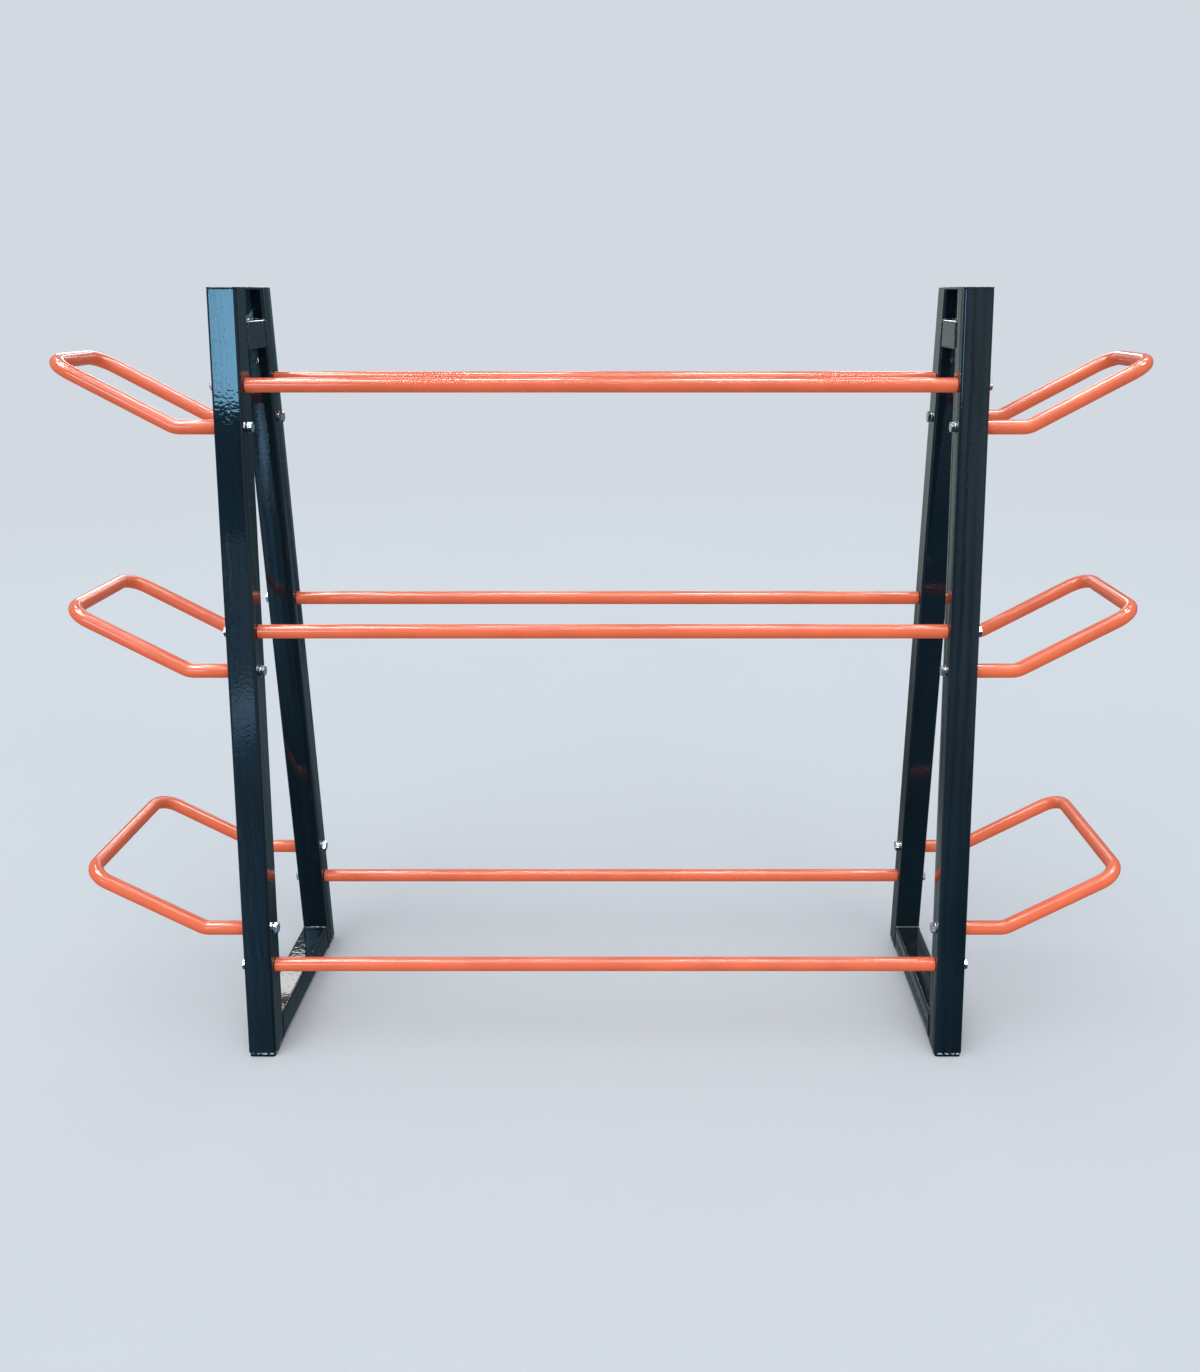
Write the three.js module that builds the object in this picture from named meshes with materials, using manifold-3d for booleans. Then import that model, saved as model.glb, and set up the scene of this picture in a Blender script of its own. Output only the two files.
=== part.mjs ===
// Three-tier dumbbell rack: two leaning side frames of square tube, six straight bars and six bent side loops.
// Millimetres. +X runs along the bars, +Y to the back, +Z up. The origin is on the floor under the middle.
import * as THREE from "three";
import { mergeVertices } from "three/addons/utils/BufferGeometryUtils.js";
import Module from "manifold-3d";

const wasm = await Module();
wasm.setup();

// Overall sizes.
const clearWidth = 1200; // between the inner faces of the two side frames
const rackHeight = 1365;
const baseDepth = 415; // over the front and rear legs, at the floor
const topDepth = 185; // over the front and rear legs, at the top

// Square tube of the side frames.
const tubeSide = 50;
const tubeWall = 2;
const tubeCorner = 5;
const crossbarDrop = 55; // from the top of the rack to the top of the upper crossbar

// Plates that close the tube ends.
const footPlateThickness = 5;
const footPlateInset = 1.5;
const topPlateThickness = 4;

// Round tube of the bars and loops.
const rodDiameter = 25;
const rodWall = 2;
const plugLength = 25; // the threaded plug welded into each end
const rodChamfer = 0.8;

// Side loops.
const loopReach = 274; // from the leg to the centre line of the loop's far run
const stubRun = 74; // from the leg to the first bend
const loopTilt = THREE.MathUtils.degToRad(28.5);
const bendRadius = 38;
const loopOffset = 70; // between a tier's bar and its loop

// M10 bolts.
const shankDiameter = 10;
const shankGrip = 20; // how far a bolt runs into a plug
const headAcrossFlats = 17;
const headHeight = 6.4;
const washerDiameter = 20;
const washerThickness = 2;

// Clearances.
const fitGap = 0.3; // between pieces that touch
const boltHoleClearance = 0.5; // on the radius, in a leg
const plugBoreClearance = fitGap; // on the radius, in a plug

// Heights of the tiers as shares of the rack height, and the side of the bar its loop is on.
const tiers = [
  { name: "bottom", barShare: 0.122, loopSide: 1 },
  { name: "middle", barShare: 0.573, loopSide: -1 },
  { name: "top", barShare: 0.882, loopSide: -1 },
];

// Segments of curved surfaces.
const rodSegments = 24;
const loopSegments = 18;
const loopBoreSegments = 10;
const boltSegments = 16;
const cornerSegments = 4;
const bendStep = THREE.MathUtils.degToRad(13);

// Sizes that follow.
const legSlope = (baseDepth - topDepth) / 2 / rackHeight;
const legLean = Math.atan(legSlope);
const legBottom = footPlateThickness + fitGap;
const legTop = rackHeight - topPlateThickness - fitGap;
const frameOffset = clearWidth / 2 + tubeSide / 2;
const rodRadius = rodDiameter / 2;
const boreRadius = shankDiameter / 2 + plugBoreClearance;
const barHeight = (tier) => rackHeight * tier.barShare;
const loopHeight = (tier) => barHeight(tier) + tier.loopSide * loopOffset;

// Distance of a leg's centre line from the rack's middle plane at a height.
function legCentre(height) {
  return baseDepth / 2 - legSlope * height - tubeSide / 2 / Math.cos(legLean);
}

// A three.js geometry as a manifold-3d solid.
function solid(geometry) {
  const plain = geometry.clone();
  plain.deleteAttribute("normal");
  plain.deleteAttribute("uv");
  const merged = mergeVertices(plain, 1e-4);
  const vertProperties = new Float32Array(merged.attributes.position.array);
  const triVerts = new Uint32Array(merged.index.array);
  return new wasm.Manifold(new wasm.Mesh({ numProp: 3, vertProperties, triVerts }));
}

// A manifold-3d solid as a three.js geometry.
function geometryOf(body) {
  const mesh = body.getMesh();
  const geometry = new THREE.BufferGeometry();
  geometry.setAttribute("position", new THREE.BufferAttribute(mesh.vertProperties, 3));
  geometry.setIndex(new THREE.BufferAttribute(mesh.triVerts, 1));
  const faceted = geometry.toNonIndexed();
  faceted.computeVertexNormals();
  return faceted;
}

function roundedRectangle(width, height, radius) {
  const x = width / 2 - radius;
  const y = height / 2 - radius;
  const shape = new THREE.Shape();
  shape.absarc(x, y, radius, 0, Math.PI / 2);
  shape.absarc(-x, y, radius, Math.PI / 2, Math.PI);
  shape.absarc(-x, -y, radius, Math.PI, (3 * Math.PI) / 2);
  shape.absarc(x, -y, radius, (3 * Math.PI) / 2, 2 * Math.PI);
  shape.closePath();
  return shape;
}

// A prism along +Z, centred on the origin.
function prism(shape, length) {
  const settings = { depth: length, bevelEnabled: false, curveSegments: cornerSegments };
  return new THREE.ExtrudeGeometry(shape, settings).translate(0, 0, -length / 2);
}

// A length of the frames' square tube along +Z, centred on the origin.
function squareTube(length) {
  const inner = tubeSide - 2 * tubeWall;
  const section = roundedRectangle(tubeSide, tubeSide, tubeCorner);
  section.holes.push(roundedRectangle(inner, inner, tubeCorner - tubeWall));
  return prism(section, length);
}

function cylinderAlongX(radius, length, segments) {
  return new THREE.CylinderGeometry(radius, radius, length, segments).rotateZ(Math.PI / 2);
}

// Leans a vertical front-leg shape back and sets its centre line on the front leg's.
function leanFront(geometry) {
  const middle = rackHeight / 2;
  return geometry.rotateX(-legLean).translate(0, -legCentre(middle), middle);
}

// The front leg of a frame, with its through holes for the bolts.
function legGeometry() {
  const longEnough = rackHeight / Math.cos(legLean) + tubeSide;
  const tube = solid(leanFront(squareTube(longEnough)));
  const height = legTop - legBottom;
  const between = new THREE.BoxGeometry(2 * tubeSide, 2 * baseDepth, height);
  let leg = tube.intersect(solid(between.translate(0, 0, (legTop + legBottom) / 2)));
  const holeRadius = shankDiameter / 2 + boltHoleClearance;
  for (const tier of tiers) {
    for (const z of [barHeight(tier), loopHeight(tier)]) {
      const hole = cylinderAlongX(holeRadius, 2 * tubeSide, boltSegments);
      leg = leg.subtract(solid(hole.translate(0, -legCentre(z), z)));
    }
  }
  return geometryOf(leg);
}

// A square tube along Y between the legs, its ends cut to the legs' lean.
function railGeometry(topZ) {
  const z = topZ - tubeSide / 2;
  const rail = squareTube(2 * legCentre(z)).rotateX(Math.PI / 2).translate(0, 0, z);
  const side = tubeSide + 2 * fitGap;
  const leg = leanFront(new THREE.BoxGeometry(2 * tubeSide, side, 2 * rackHeight));
  const rear = leg.clone().rotateZ(Math.PI);
  return geometryOf(solid(rail).subtract(solid(leg)).subtract(solid(rear)));
}

function topPlateGeometry() {
  const plate = prism(roundedRectangle(tubeSide, topDepth, tubeCorner), topPlateThickness);
  return plate.translate(0, 0, rackHeight - topPlateThickness / 2);
}

function footPlateGeometry() {
  const side = tubeSide - 2 * footPlateInset;
  const plate = prism(roundedRectangle(side, side, tubeCorner), footPlateThickness);
  return plate.translate(0, 0, footPlateThickness / 2);
}

// A bar along X: a tube with a bored plug in each end, turned about the bore.
function barGeometry() {
  const half = clearWidth / 2 - fitGap;
  const wallRadius = rodRadius - rodWall;
  const shoulder = half - rodChamfer;
  const cavity = half - plugLength;
  const profile = [
    [boreRadius, -half],
    [rodRadius - rodChamfer, -half],
    [rodRadius, -shoulder],
    [rodRadius, shoulder],
    [rodRadius - rodChamfer, half],
    [boreRadius, half],
    [boreRadius, cavity],
    [wallRadius, cavity],
    [wallRadius, -cavity],
    [boreRadius, -cavity],
    [boreRadius, -half],
  ];
  const points = profile.map(([r, h]) => new THREE.Vector2(r, h));
  return new THREE.LatheGeometry(points, rodSegments).rotateZ(-Math.PI / 2);
}

function direction(from, to) {
  return to.clone().sub(from).normalize();
}

// Straight runs between corners, each corner rounded to one radius.
class BentPath extends THREE.Curve {
  constructor(corners, radius) {
    super();
    const last = corners.length - 1;
    this.stations = [{ point: corners[0], tangent: direction(corners[0], corners[1]) }];
    for (let i = 1; i < last; i += 1) {
      this.addBend(corners[i], direction(corners[i - 1], corners[i]),
        direction(corners[i], corners[i + 1]), radius);
    }
    this.stations.push({ point: corners[last], tangent: direction(corners[last - 1], corners[last]) });
  }

  addBend(corner, before, after, radius) {
    const angle = before.angleTo(after);
    const inward = after.clone().addScaledVector(before, -Math.cos(angle)).normalize();
    const start = corner.clone().addScaledVector(before, -radius * Math.tan(angle / 2));
    const centre = start.addScaledVector(inward, radius);
    const steps = Math.ceil(angle / bendStep);
    for (let i = 0; i <= steps; i += 1) {
      const turn = (angle * i) / steps;
      const point = centre.clone().addScaledVector(inward, -radius * Math.cos(turn));
      point.addScaledVector(before, radius * Math.sin(turn));
      const tangent = before.clone().multiplyScalar(Math.cos(turn));
      tangent.addScaledVector(inward, Math.sin(turn));
      this.stations.push({ point, tangent });
    }
  }

  get steps() {
    return this.stations.length - 1;
  }

  getPointAt(u) {
    return this.stations[Math.round(u * this.steps)].point.clone();
  }

  getTangentAt(u) {
    return this.stations[Math.round(u * this.steps)].tangent.clone();
  }
}

// The round section swept along a loop's centre line, starting some way in from each end.
function sweptLoop(height, radius, segments, endInset) {
  const x = tubeSide / 2 + fitGap + endInset;
  const y = legCentre(height);
  const bendX = tubeSide / 2 + stubRun;
  const farX = tubeSide / 2 + loopReach;
  const farZ = height + (farX - bendX) * Math.tan(loopTilt);
  const corners = [
    new THREE.Vector3(x, -y, height),
    new THREE.Vector3(bendX, -y, height),
    new THREE.Vector3(farX, -y, farZ),
    new THREE.Vector3(farX, y, farZ),
    new THREE.Vector3(bendX, y, height),
    new THREE.Vector3(x, y, height),
  ];
  const path = new BentPath(corners, bendRadius);
  const section = new THREE.Shape();
  section.absarc(0, 0, radius, 0, 2 * Math.PI);
  const settings = { steps: path.steps, curveSegments: segments / 2, extrudePath: path };
  return solid(new THREE.ExtrudeGeometry(section, settings));
}

// A side loop on the +X side: bent tube with a bored plug in each end.
function loopGeometry(height) {
  const outer = sweptLoop(height, rodRadius, loopSegments, 0);
  const cavity = sweptLoop(height, rodRadius - rodWall, loopBoreSegments, plugLength);
  let loop = outer.subtract(cavity);
  const boreLength = 2 * plugLength + fitGap;
  for (const side of [-1, 1]) {
    const bore = cylinderAlongX(boreRadius, boreLength, boltSegments);
    const x = tubeSide / 2 + fitGap;
    loop = loop.subtract(solid(bore.translate(x, side * legCentre(height), height)));
  }
  return geometryOf(loop);
}

// A hex bolt and its washer along +X, the washer's bearing face at the origin, the head towards -X.
function boltGeometry() {
  const shankLength = tubeSide + 2 * fitGap + shankGrip;
  const shank = cylinderAlongX(shankDiameter / 2, shankLength + washerThickness, boltSegments);
  const washer = cylinderAlongX(washerDiameter / 2, washerThickness, boltSegments);
  const hexRadius = headAcrossFlats / Math.sqrt(3);
  const hex = cylinderAlongX(hexRadius, headHeight, 6);
  const chamfer = new THREE.CylinderGeometry(
    hexRadius + headHeight, headAcrossFlats / 2, headHeight, boltSegments).rotateZ(-Math.PI / 2);
  const headX = -washerThickness - headHeight / 2;
  const head = solid(hex.translate(headX, 0, 0)).intersect(solid(chamfer.translate(headX, 0, 0)));
  const shankSolid = solid(shank.translate((shankLength - washerThickness) / 2, 0, 0));
  const washerSolid = solid(washer.translate(-washerThickness / 2, 0, 0));
  return geometryOf(head.add(washerSolid).add(shankSolid));
}

function painted() {
  return new THREE.MeshStandardMaterial({ color: 0x1b2a38, roughness: 0.3, metalness: 0.1 });
}

function orange() {
  return new THREE.MeshStandardMaterial({ color: 0xe8713c, roughness: 0.4, metalness: 0.0 });
}

function zinc() {
  return new THREE.MeshStandardMaterial({ color: 0xc9ccd0, roughness: 0.3, metalness: 1.0 });
}

const group = new THREE.Group();

function add(parent, name, geometry, material) {
  const mesh = new THREE.Mesh(geometry, material);
  mesh.name = name;
  parent.add(mesh);
  return mesh;
}

// Turns a piece made for the front to the rear, or one made for the right to the left.
function halfTurn(object, wanted) {
  object.rotation.z = wanted ? Math.PI : 0;
}

const leg = legGeometry();
const baseRail = railGeometry(legBottom + tubeSide);
const upperCrossbar = railGeometry(rackHeight - crossbarDrop);
const topPlate = topPlateGeometry();
const footPlate = footPlateGeometry();
const bar = barGeometry();
const bolt = boltGeometry();
const loops = tiers.map((tier) => loopGeometry(loopHeight(tier)));
const depthSides = [["front", -1], ["rear", 1]];
const widthSides = [["left", -1], ["right", 1]];

for (const [side, sx] of widthSides) {
  const frame = new THREE.Group();
  frame.position.x = sx * frameOffset;
  group.add(frame);
  for (const [end, sy] of depthSides) {
    halfTurn(add(frame, `${side}_${end}_leg`, leg.clone(), painted()), sy > 0);
    const foot = add(frame, `${side}_${end}_foot_plate`, footPlate.clone(), painted());
    foot.position.y = sy * legCentre(footPlateThickness);
  }
  add(frame, `${side}_base_rail`, baseRail.clone(), painted());
  add(frame, `${side}_upper_crossbar`, upperCrossbar.clone(), painted());
  add(frame, `${side}_top_plate`, topPlate.clone(), painted());

  tiers.forEach((tier, i) => {
    halfTurn(add(frame, `${side}_${tier.name}_loop`, loops[i].clone(), orange()), sx < 0);
    for (const [end, sy] of depthSides) {
      const bearing = tubeSide / 2 + fitGap;
      const barBolt = add(frame, `${side}_${tier.name}_${end}_bar_bolt`, bolt.clone(), zinc());
      barBolt.position.set(sx * bearing, sy * legCentre(barHeight(tier)), barHeight(tier));
      halfTurn(barBolt, sx > 0);
      const loopBolt = add(frame, `${side}_${tier.name}_${end}_loop_bolt`, bolt.clone(), zinc());
      loopBolt.position.set(-sx * bearing, sy * legCentre(loopHeight(tier)), loopHeight(tier));
      halfTurn(loopBolt, sx < 0);
    }
  });
}

for (const tier of tiers) {
  for (const [end, sy] of depthSides) {
    const placed = add(group, `${tier.name}_${end}_bar`, bar.clone(), orange());
    placed.position.set(0, sy * legCentre(barHeight(tier)), barHeight(tier));
  }
}

export default group;
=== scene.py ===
import math

import bmesh
import bpy
from bpy.props import FloatProperty, FloatVectorProperty, IntProperty, PointerProperty
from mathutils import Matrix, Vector


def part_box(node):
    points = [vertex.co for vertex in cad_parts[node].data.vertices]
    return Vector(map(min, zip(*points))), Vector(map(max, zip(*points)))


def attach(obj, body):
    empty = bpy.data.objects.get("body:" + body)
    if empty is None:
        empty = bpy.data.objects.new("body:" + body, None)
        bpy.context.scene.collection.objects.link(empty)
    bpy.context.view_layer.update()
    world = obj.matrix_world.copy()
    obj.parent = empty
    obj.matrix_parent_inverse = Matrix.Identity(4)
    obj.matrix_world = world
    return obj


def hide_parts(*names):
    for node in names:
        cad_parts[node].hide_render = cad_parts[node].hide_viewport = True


bl_info = {
    "name": "Dumbbell Rack",
    "version": (1, 0, 0),
    "blender": (4, 5, 0),
    "location": "View3D > Sidebar > Dumbbell Rack",
    "description": "Builds the visible pieces of a three-tier dumbbell rack on its packed frame",
    "category": "Add Mesh",
}

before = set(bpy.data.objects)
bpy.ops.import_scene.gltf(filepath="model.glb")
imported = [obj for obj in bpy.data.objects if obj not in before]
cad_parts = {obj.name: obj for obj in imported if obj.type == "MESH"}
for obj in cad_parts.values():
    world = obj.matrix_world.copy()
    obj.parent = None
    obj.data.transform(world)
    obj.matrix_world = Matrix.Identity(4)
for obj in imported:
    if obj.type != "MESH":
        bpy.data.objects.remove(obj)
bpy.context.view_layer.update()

SIDES = {"left": -1, "right": 1}
ENDS = {"front": -1, "rear": 1}
TIERS = ("bottom", "middle", "top")


def middle(node):
    """The centre of a frame node's box."""
    low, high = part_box(node)
    return (low + high) / 2


def extent(node):
    """The size of a frame node's box."""
    low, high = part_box(node)
    return high - low


# ---------------------------------------------------------------- properties


def length(name, description, default):
    return FloatProperty(name=name, description=description, default=default, unit="LENGTH")


def share(name, description, default):
    return FloatProperty(
        name=name, description=description, default=default, min=0, max=1, subtype="FACTOR")


def colour(name, description, default):
    return FloatVectorProperty(
        name=name, description=description, default=default, size=4, min=0, max=1, subtype="COLOR")


class RackSizes(bpy.types.PropertyGroup):
    """Sizes of the rack's pieces"""

    tube_side: length("Tube side", "Width of the frames' square tube", extent("left_base_rail").x)
    tube_wall: length("Tube wall", "Wall thickness of the square tube", 0.002)
    tube_corner: length("Tube corner", "Outer corner radius of the square tube", 0.005)
    corner_steps: IntProperty(
        name="Corner steps", description="Facets around one corner of the square tube", default=8)
    plate_edge: length("Plate edge", "Radius on the edges of the plates", 0.0007)
    rod_radius: length("Rod radius", "Radius of the bars and loops", extent("top_front_bar").z / 2)
    rod_edge: length("Rod end edge", "Radius on the ends of the bars and loops", 0.0009)
    rod_facets: IntProperty(
        name="Rod facets", description="Facets around a bar or loop", default=48)
    bore_radius: length("Bore radius", "Radius of the bolt bore in a bar's or loop's end", 0.0053)
    bore_depth: length("Bore depth", "Depth of the bolt bore", 0.024)
    bend_radius: length("Bend radius", "Centre line radius of the loops' bends", 0.038)
    loop_tilt: FloatProperty(
        name="Loop tilt", description="Rise of a loop's arms", default=math.radians(28.5),
        unit="ROTATION")
    hole_radius: length("Hole radius", "Radius of the bolt holes in the legs", 0.0055)
    washer_radius: length(
        "Washer radius", "Outer radius of the washers", extent("left_top_front_bar_bolt").z / 2)
    washer_thickness: length("Washer thickness", "Thickness of the washers", 0.002)
    head_height: length("Head height", "Height of the bolt heads", 0.0064)
    head_flats: length("Head across flats", "Width of the bolt heads", 0.017)
    shank_radius: length("Shank radius", "Radius of the bolts", 0.005)
    foot_gap: length("Foot gap", "Height of the weld under a leg's tube", 0.0034)
    foot_bead: length("Foot bead", "Radius of the weld beads on the foot plates", 0.0023)
    joint_bead: length("Joint bead", "Radius of the weld beads on the rails", 0.0026)
    seam_bead: length("Seam bead", "Radius of the weld beads at the plates", 0.0014)


class RackFinishes(bpy.types.PropertyGroup):
    """Colours and gloss of the rack's finishes"""

    frame_colour: colour(
        "Frame paint", "Colour of the frames' gloss paint", (0.0035, 0.0088, 0.0135, 1))
    frame_gloss: share("Frame roughness", "Roughness of the frames' paint", 0.03)
    orange_colour: colour("Orange paint", "Colour of the bars and loops", (0.87, 0.163, 0.066, 1))
    orange_gloss: share("Orange roughness", "Roughness of the orange paint under its coat", 0.36)
    orange_coat: share("Orange coat", "Roughness of the orange paint's glossy coat", 0.16)
    zinc_colour: colour("Zinc", "Colour of the bolts and washers", (0.80, 0.82, 0.84, 1))
    floor_colour: colour("Floor", "Colour of the studio floor", (0.60, 0.645, 0.685, 1))
    studio_colour: colour(
        "Studio", "Colour of the studio behind the rack", (0.645, 0.694, 0.753, 1))
    ambient_colour: colour("Ambient", "Colour of the studio's even light", (0.62, 0.64, 0.67, 1))


# ---------------------------------------------------------------- modelling


def deselect():
    bpy.ops.object.select_all(action="DESELECT")


def activate(piece):
    deselect()
    piece.select_set(True)
    bpy.context.view_layer.objects.active = piece


def settle(piece):
    """Puts the piece's place, turn and size into its mesh."""
    activate(piece)
    bpy.ops.object.transform_apply(location=True, rotation=True, scale=True)


def new_box(name, centre, size):
    deselect()
    bpy.ops.mesh.primitive_cube_add(size=1, location=centre, scale=size)
    piece = bpy.context.active_object
    piece.name = name
    settle(piece)
    return piece


def new_rod(name, centre, radius, length, facets):
    """A cylinder along X."""
    deselect()
    bpy.ops.mesh.primitive_cylinder_add(
        vertices=facets, radius=radius, depth=length, location=centre, rotation=(0, math.pi / 2, 0))
    piece = bpy.context.active_object
    piece.name = name
    settle(piece)
    return piece


def edit(piece):
    activate(piece)
    bpy.ops.object.mode_set(mode="EDIT")
    bpy.ops.mesh.select_all(action="DESELECT")


def leave_edit():
    bpy.ops.object.mode_set(mode="OBJECT")


def pick(piece, kind, wanted):
    """Selects only the verts, edges or faces that pass a test."""
    bpy.ops.mesh.select_all(action="DESELECT")
    modes = ("verts", "edges", "faces")
    bpy.context.tool_settings.mesh_select_mode = tuple(kind == m for m in modes)
    mesh = bmesh.from_edit_mesh(piece.data)
    for element in getattr(mesh, kind):
        if wanted(element):
            element.select_set(True)
    mesh.select_flush_mode()
    bmesh.update_edit_mesh(piece.data)


def edge_run(edge):
    return (edge.verts[1].co - edge.verts[0].co).normalized()


def along(axis):
    """A test for edges that run along an axis."""
    return lambda edge: abs(edge_run(edge)[axis]) > 0.99


def facing(axis):
    """A test for faces that look along an axis, either way."""
    return lambda face: abs(face.normal[axis]) > 0.99


def bevel(width, steps):
    bpy.ops.mesh.bevel(offset=width, offset_type="OFFSET", segments=steps, profile=0.5)


def modify(piece, kind, **settings):
    """Adds a modifier with these settings and applies it."""
    activate(piece)
    bpy.ops.object.modifier_add(type=kind)
    modifier = piece.modifiers[-1]
    for key, value in settings.items():
        setattr(modifier, key, value)
    bpy.ops.object.modifier_apply(modifier=modifier.name)


def smooth(piece, degrees=40, weighted=True):
    activate(piece)
    bpy.ops.object.shade_smooth_by_angle(angle=math.radians(degrees))
    if weighted:
        modify(piece, "WEIGHTED_NORMAL", keep_sharp=True, weight=80)


def outward(piece):
    """Merges doubles and turns every face outwards."""
    edit(piece)
    bpy.ops.mesh.select_all(action="SELECT")
    bpy.ops.mesh.remove_doubles(threshold=1e-6)
    bpy.ops.mesh.normals_make_consistent(inside=False)
    leave_edit()


def copy_of(piece, name, shift=(0, 0, 0), turn=None):
    """A copy with its own mesh, turned if asked, by (angle, axis, centre), and then shifted."""
    activate(piece)
    bpy.ops.object.duplicate(linked=False)
    twin = bpy.context.active_object
    twin.name = name
    edit(twin)
    bpy.ops.mesh.select_all(action="SELECT")
    if turn is not None:
        angle, axis, centre = turn
        bpy.ops.transform.rotate(value=angle, orient_axis=axis, center_override=centre)
    bpy.ops.transform.translate(value=shift)
    leave_edit()
    return twin


def mirrored(piece, name, axis):
    """A mirror copy across the rack's middle plane along an axis."""
    activate(piece)
    bpy.ops.object.duplicate(linked=False)
    twin = bpy.context.active_object
    twin.name = name
    edit(twin)
    bpy.ops.mesh.select_all(action="SELECT")
    scale = [1.0, 1.0, 1.0]
    scale[axis] = -1.0
    bpy.ops.transform.resize(value=scale, center_override=(0, 0, 0))
    bpy.ops.mesh.flip_normals()
    leave_edit()
    return twin


def combine(piece, cutter, operation):
    """A boolean with another piece, which is used up."""
    activate(piece)
    bpy.ops.object.modifier_add(type="BOOLEAN")
    modifier = piece.modifiers[-1]
    modifier.operation = operation
    modifier.solver = "EXACT"
    modifier.object = cutter
    bpy.ops.object.modifier_apply(modifier=modifier.name)
    bpy.data.objects.remove(cutter)


# The spin operator turns against its own axis in background mode.
SPIN_WAY = -1


class Sweep:
    """A round section carried along straight runs and bends, by extrude and spin."""

    def __init__(self, name, start, heading, radius, facets):
        deselect()
        turn = Vector((0, 0, 1)).rotation_difference(heading).to_euler()
        bpy.ops.mesh.primitive_circle_add(
            vertices=facets, radius=radius, fill_type="NOTHING", location=start, rotation=turn)
        self.piece = bpy.context.active_object
        self.piece.name = name
        settle(self.piece)
        self.at = Vector(start)
        self.heading = heading.normalized()
        self.swell = 1.0
        edit(self.piece)
        bpy.ops.mesh.select_mode(type="EDGE")
        bpy.ops.mesh.select_all(action="SELECT")

    def run(self, length, steps=1, ripple=0.0):
        """Extrudes straight on; a ripple swells and shrinks every other ring."""
        for _ in range(steps):
            step = self.heading * (length / steps)
            bpy.ops.mesh.extrude_region_move(TRANSFORM_OT_translate={"value": step})
            self.at += step
            if ripple:
                wanted = 1 - ripple if self.swell >= 1.0 else 1.0
                change = wanted / self.swell
                bpy.ops.transform.resize(value=(change,) * 3, center_override=self.at)
                self.swell = wanted

    def bend(self, heading, radius, steps):
        """Spins round to a new heading."""
        heading = heading.normalized()
        angle = self.heading.angle(heading)
        inward = (heading - self.heading * math.cos(angle)).normalized()
        centre = self.at + inward * radius
        axis = self.heading.cross(heading).normalized()
        bpy.ops.mesh.spin(steps=steps, angle=SPIN_WAY * angle, center=centre, axis=axis)
        ahead = self.heading * radius * math.sin(angle)
        self.at = centre - inward * radius * math.cos(angle) + ahead
        self.heading = heading

    def close(self):
        """Caps both ends and leaves edit mode."""
        bpy.ops.mesh.select_all(action="DESELECT")
        bpy.ops.mesh.select_mode(type="EDGE")
        bpy.ops.mesh.select_non_manifold(extend=False)
        bpy.ops.mesh.edge_face_add()
        leave_edit()
        outward(self.piece)
        return self.piece


def sweep_corners(name, corners, bend_radius, bend_steps, radius, facets, ripple=0.0, pitch=None):
    """A swept rod through corner points, each corner rounded."""
    points = [Vector(c) for c in corners]
    headings = [(b - a).normalized() for a, b in zip(points, points[1:])]
    sweep = Sweep(name, points[0], headings[0], radius, facets)
    for i, heading in enumerate(headings):
        length = (points[i + 1] - sweep.at).dot(heading)
        last = i == len(headings) - 1
        reach = 0 if last else bend_radius * math.tan(heading.angle(headings[i + 1]) / 2)
        steps = max(1, round((length - reach) / pitch)) if pitch else 1
        sweep.run(length - reach, steps, ripple)
        if not last:
            sweep.bend(headings[i + 1], bend_radius, bend_steps)
    return sweep.close()


def finish(piece, material, slot, *nodes):
    """Paints a finished piece, sets it on the rack and hides the nodes it stands for."""
    piece.data.materials.clear()
    piece.data.materials.append(material)
    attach(piece, "root")
    if nodes:
        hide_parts(*nodes)


# ---------------------------------------------------------------- finishes

# Where dust, wear and scratches change a finish, and where highlights are painted into it, it
# blends towards these colours.
FRAME_DUST = (0.36, 0.35, 0.33, 1)
# Paler frame edges: rubbed wear and a slight painted edge highlight.
FRAME_EDGE_WEAR_AND_HIGHLIGHT = (0.10, 0.115, 0.125, 1)
# Faint pale flecks painted on the joint weld beads as highlights.
WELD_FAINT_PAINTED_GLINT = (0.12, 0.135, 0.15, 1)
# Strong pale flecks painted on the foot weld beads as highlights.
WELD_PAINTED_GLINT = (0.56, 0.62, 0.66, 1)
ORANGE_DUST = (0.62, 0.50, 0.44, 1)
ORANGE_SCRATCHED = (0.30, 0.09, 0.05, 1)
ORANGE_WORN = (0.33, 0.13, 0.08, 1)
ZINC_WORN = (0.80, 0.81, 0.82, 1)

# Heights of the surface relief, in metres.
FRAME_SKIN = 0.0001
FRAME_RUNS = 0.00018
FRAME_SCRATCH = -0.00003
WELD_SKIN = 0.0009
ORANGE_SKIN = 0.000003
ORANGE_SCRATCH = -0.000006
ZINC_GRAIN = 0.00002

PAINT_IOR = 1.5


def node(tree, kind, **settings):
    made = tree.nodes.new(kind)
    for key, value in settings.items():
        setattr(made, key, value)
    return made


def feed(tree, target, value):
    """Links an input to another node's output, or sets it to a plain value."""
    if isinstance(value, bpy.types.NodeSocket):
        tree.links.new(value, target)
    else:
        target.default_value = value


def noise(tree, coordinates, scale, detail, roughness=0.5, distortion=0.0):
    made = node(tree, "ShaderNodeTexNoise")
    feed(tree, made.inputs["Scale"], scale)
    made.inputs["Detail"].default_value = detail
    made.inputs["Roughness"].default_value = roughness
    made.inputs["Distortion"].default_value = distortion
    tree.links.new(coordinates, made.inputs["Vector"])
    return made.outputs["Fac"]


def stretched(tree, coordinates, scale, rotation=(0, 0, 0)):
    """Coordinates scaled unevenly, so that a texture on them runs in one direction."""
    made = node(tree, "ShaderNodeMapping")
    made.inputs["Scale"].default_value = scale
    made.inputs["Rotation"].default_value = rotation
    tree.links.new(coordinates, made.inputs["Vector"])
    return made.outputs["Vector"]


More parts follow.
